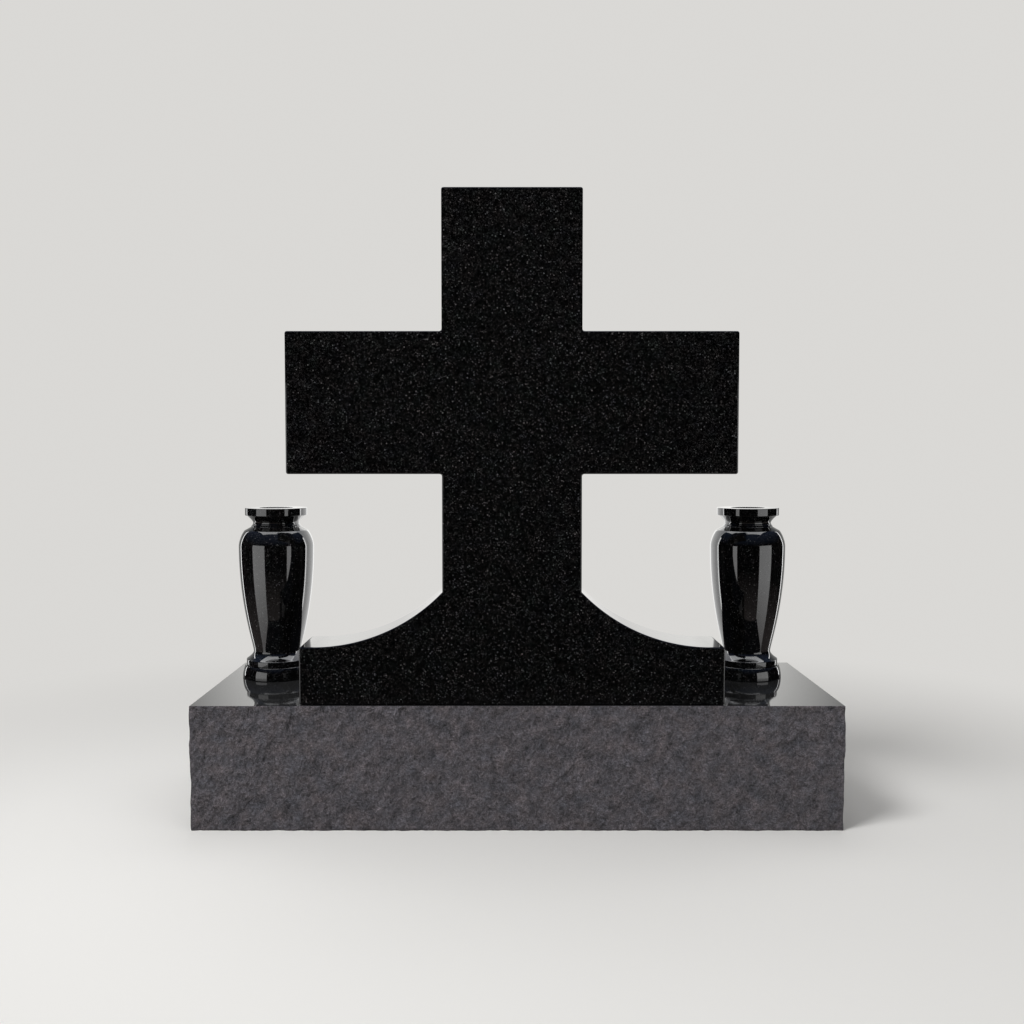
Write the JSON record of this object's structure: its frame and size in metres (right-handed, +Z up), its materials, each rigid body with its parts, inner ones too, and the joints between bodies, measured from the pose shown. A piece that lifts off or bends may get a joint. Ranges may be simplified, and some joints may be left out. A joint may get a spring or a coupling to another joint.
{
  "type": "cross headstone",
  "caption": "Plain Latin cross headstone of polished black granite with a flared foot, on a rock-faced grey base slab between turned hollow flower vases.",
  "frame": {"origin": "centre of the base slab's underside", "axes": "+Z up, -Y the front face with the cross flush to it, +X to the right as the front is seen"},
  "size_m": [1.0038, 0.3579, 0.9749],
  "materials": {
    "rock_faced_granite": "rock-faced sides under a polished top",
    "polished_granite": "mirror polished"
  },
  "bodies": {
    "root": {"base": "rock_faced_granite", "cross": "polished_granite", "left_vase": "polished_granite", "right_vase": "polished_granite"}
  },
  "joints": []
}
